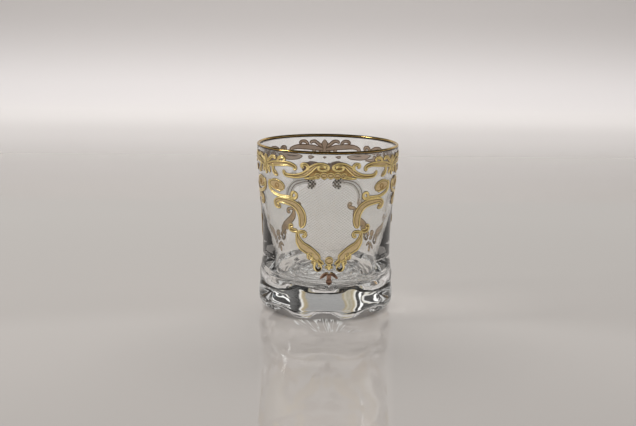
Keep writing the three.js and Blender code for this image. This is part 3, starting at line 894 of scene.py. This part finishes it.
# TRELLIS
# A net of gold hairlines that fills each panel inside its frame, fired on with the scrolls. Rows
# of points lean one way and the other, and those outside the field are taken away.
row_points = 120
row_step = 0.4 * MM
hair_gold = plain_gold("hair_gold", (0.50, 0.41, 0.29), (0.70, 0.60, 0.46))
trellis_form, size, end = new_form(
    "trellis_form",
    {
        "Pitch": "Float", "Slope": "Float", "Line": "Float", "Reach": "Float", "Middle": "Float",
        "Panels": "Int", "Half Panel": "Float", "Gold": "Material", "Gold Back": "Material",
    },
)
tree = trellis_form
field = flow(tree, "GeometryNodeFillCurve", {0: size["Geometry"]})
row_start = (-(row_points - 1) * row_step / 2, 0, 0)
row = flow(tree, "GeometryNodeMeshLine", {"Count": row_points, "Offset": (row_step, 0, 0)})
row = flow(tree, "GeometryNodeSetPosition", {"Geometry": row, "Offset": row_start})
stack = flow(
    tree,
    "GeometryNodeMeshLine",
    {
        "Count": calc(tree, "DIVIDE", size["Reach"], size["Pitch"]),
        "Start Location": flow(tree, "ShaderNodeCombineXYZ", {"Y": product(tree, size["Reach"], -0.5)}),
        "Offset": flow(tree, "ShaderNodeCombineXYZ", {"Y": size["Pitch"]}),
    },
)
rows = flow(tree, "GeometryNodeInstanceOnPoints", {"Points": stack, "Instance": row})
rows = flow(tree, "GeometryNodeRealizeInstances", {"Geometry": rows})
shift = flow(tree, "ShaderNodeCombineXYZ", {"Y": size["Middle"]})
nets = add(tree, "GeometryNodeJoinGeometry")
for sign in (1.0, -1.0):
    lean = flow(tree, "ShaderNodeCombineXYZ", {"Z": product(tree, size["Slope"], sign)})
    feeds = {"Geometry": rows, "Translation": shift, "Rotation": lean}
    feed(tree, nets, {0: flow(tree, "GeometryNodeTransform", feeds)})
point = flow(tree, "GeometryNodeInputPosition")
in_field = add(
    tree,
    "GeometryNodeRaycast",
    {
        "Target Geometry": field,
        "Source Position": flow(tree, "ShaderNodeVectorMath", {0: point, 1: (0, 0, 10 * MM)}),
        "Ray Direction": (0, 0, -1),
        "Ray Length": 100 * MM,
    },
).outputs["Is Hit"]
outside = flow(tree, "FunctionNodeBooleanMath", {0: in_field}, operation="NOT")
kept = flow(tree, "GeometryNodeDeleteGeometry", {"Geometry": nets.outputs[0], "Selection": outside})
lines = flow(tree, "GeometryNodeMeshToCurve", {"Mesh": kept})
lines = flow(tree, "GeometryNodeSetCurveRadius", {"Curve": lines, "Radius": size["Line"]})
gilt = flow(
    tree,
    "GeometryNodeGroup",
    {
        "Geometry": lines, "Panels": size["Panels"], "Half Panel": size["Half Panel"], "Film": 0.04 * MM,
        "Ridge": 0.0, "Sink": 0.02 * MM, "Step": 1.2 * MM, "Sides": 6, "Gold": size["Gold"],
        "Gold Back": size["Gold Back"],
    },
    node_tree=gilt_form,
)
feed(tree, end, {"Geometry": flow(tree, "GeometryNodeRealizeInstances", {"Geometry": gilt})})

field_side = [
    (0, 14), (14, 14), (24, 15.9), (34.5, 19.6), (44.8, 23.3), (46.4, 27), (48.8, 31), (40.5, 34.5),
    (38.1, 38.5), (40.5, 42.5), (45.2, 45.5), (47.6, 48), (47.6, 51.4), (40.5, 54.6), (28.6, 57), (19, 60),
    (12.4, 63.5), (0, 63.5),
]
field_round = field_side + flipped(field_side[-2:0:-1])
field_curve = drawn_curve("trellis_field", [[(x * sheet_step, -y) for x, y in field_round]])
field_curve.data.splines[0].use_cyclic_u = True
trellis = shape_by(
    trellis_form,
    field_curve,
    "trellis_gilding",
    {
        "Pitch": 1.28 * MM, "Slope": math.radians(36), "Line": 0.05 * MM, "Reach": 64 * MM,
        "Middle": -39 * MM, "Panels": panels, "Half Panel": half_panel * MM, "Gold": hair_gold,
        "Gold Back": hair_gold,
    },
)
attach(trellis, "root")

# STUDIO LIGHT
# A wide soft box above and behind the table, a narrow one at the left, and a room whose windows,
# walls and dark gaps are what the thick glass gathers and bends.


def soft_box(name, place, aim, width, length, power):
    lamp = bpy.data.lights.new(name, "AREA")
    lamp.shape = "RECTANGLE"
    lamp.size = width
    lamp.size_y = length
    lamp.energy = power
    lit = bpy.data.objects.new(name, lamp)
    scene.collection.objects.link(lit)
    lit.location = place
    lit.rotation_euler = (Vector(aim) - Vector(place)).to_track_quat("-Z", "Y").to_euler()
    return lit


back_box = soft_box("back_box", (0, 1.5, 1.4), (0, 0, 0.05), 2.8, 1.0, 44)
back_box.visible_transmission = False
back_box.visible_glossy = False
left_box = soft_box("left_box", (-1.1, -0.12, 0.8), (0, 0, 0.06), 0.14, 0.6, 3)
left_box.visible_transmission = False


def greys(value):
    return (value, 0.985 * value, 0.965 * value)


# What the glass shows: upright stripes at bearings in degrees from straight behind, which sway a
# little with the height.
cream = (0.66, 0.62, 0.53)
oak = (0.36, 0.29, 0.17)
olive = (0.29, 0.26, 0.18)
straw = (0.42, 0.38, 0.3)
slate = (0.3, 0.36, 0.42)
room_stops = [
    (-180, greys(0.8)), (-130, greys(0.7)), (-95, greys(0.5)), (-55, greys(0.46)), (-46, greys(0.12)),
    (-19.4, greys(0.04)), (-18.8, greys(1.2)), (-16.6, greys(1.2)), (-16, greys(0.01)), (-12.4, greys(0.01)),
    (-11.8, greys(1.0)), (-10.4, cream), (-8.5, oak), (-6, straw), (-3.4, olive), (-2.2, cream),
    (-1.7, oak), (-1.0, oak), (-0.7, greys(0.3)), (5.8, greys(0.3)), (6.4, oak), (8.4, oak),
    (9.2, cream), (10.2, greys(1.0)), (10.9, greys(0.02)), (13, greys(0.03)), (18, greys(0.09)),
    (46, greys(0.12)), (55, greys(0.46)), (95, greys(0.5)), (130, greys(0.7)), (180, greys(0.8)),
]
sway_rate = 34.0
sway_reach = math.radians(1.0)
room = bpy.data.worlds.new("studio_room")
room.use_nodes = True
tree = room.node_tree
outlook = add(tree, "ShaderNodeTexCoord").outputs["Generated"]
toward = add(tree, "ShaderNodeSeparateXYZ", {0: outlook}).outputs
bearing = calc(tree, "ARCTAN2", toward["X"], toward["Y"])
climb = calc(tree, "ARCSINE", toward["Z"])
sway = product(tree, calc(tree, "SINE", product(tree, climb, sway_rate)), sway_reach)
round_share = ranged(tree, calc(tree, "ADD", bearing, sway), -math.pi, math.pi)
stripes = [(0.5 + turn / 360, colour) for turn, colour in room_stops]
seen_through = shades(tree, round_share, stripes, "LINEAR")

# Two oval windows with dark frames, which the lobes of the foot draw out into loops and stripes.
# Each is a bearing, breadth, level and height in degrees, with a stretch and a slant.
loops = ((-32, 15, 16.0, 4.6, 1.0, 0.0), (34, 13, 15.6, 4.6, 0.3, 0.22))
loop_stops = [
    (0.0, slate), (0.1, greys(0.01)), (0.36, greys(0.01)), (0.42, greys(1.2)), (0.56, greys(1.2)),
    (0.62, greys(0.02)), (0.76, greys(0.02)), (0.82, greys(0.9)), (0.9, cream), (0.95, greys(0.05)),
]
for middle, breadth, level, tall, stretch, slant in loops:
    along = calc(tree, "SUBTRACT", bearing, math.radians(middle))
    along = calc(tree, "DIVIDE", along, math.radians(breadth))
    lean = product(tree, along, math.radians(slant * breadth))
    up = calc(tree, "SUBTRACT", calc(tree, "SUBTRACT", climb, math.radians(level)), lean)
    up = calc(tree, "DIVIDE", up, math.radians(tall))
    apart = span(tree, product(tree, along, stretch), up)
    inside = product(
        tree,
        calc(tree, "LESS_THAN", apart, 1.0),
        calc(tree, "LESS_THAN", calc(tree, "ABSOLUTE", along), 1.0),
    )
    seen_through = mixed(tree, inside, seen_through, shades(tree, apart, loop_stops, "LINEAR"))

# What everything else shows: plain walls under a ceiling that is dark in front of the table. Each
# height is a pair between which one gives way to the other.
wall_top = (0.285, 0.3)
mirrored_top = (0.43, 0.46)
seen_wall_top = (0.5, 0.56)
dark = (*greys(0.02), 1)
behind = ranged(tree, toward["Y"], 0.1, 0.6)
plain = shades(tree, behind, [(0.0, greys(1.0)), (0.4, greys(0.4)), (1.0, greys(0.45))])
ceiling = shades(tree, behind, [(0.0, greys(0.02)), (1.0, greys(0.62))])
path = add(tree, "ShaderNodeLightPath").outputs
dimmed = product(tree, path["Is Glossy Ray"], ranged(tree, toward["Z"], *mirrored_top))
plain = mixed(tree, ranged(tree, toward["Z"], *wall_top), plain, mixed(tree, dimmed, ceiling, dark))
seen_through = mixed(tree, ranged(tree, toward["Z"], *seen_wall_top), seen_through, ceiling)
walls = mixed(tree, path["Is Transmission Ray"], plain, seen_through)
feed(tree, tree.nodes["Background"], {"Color": walls})
scene.world = room
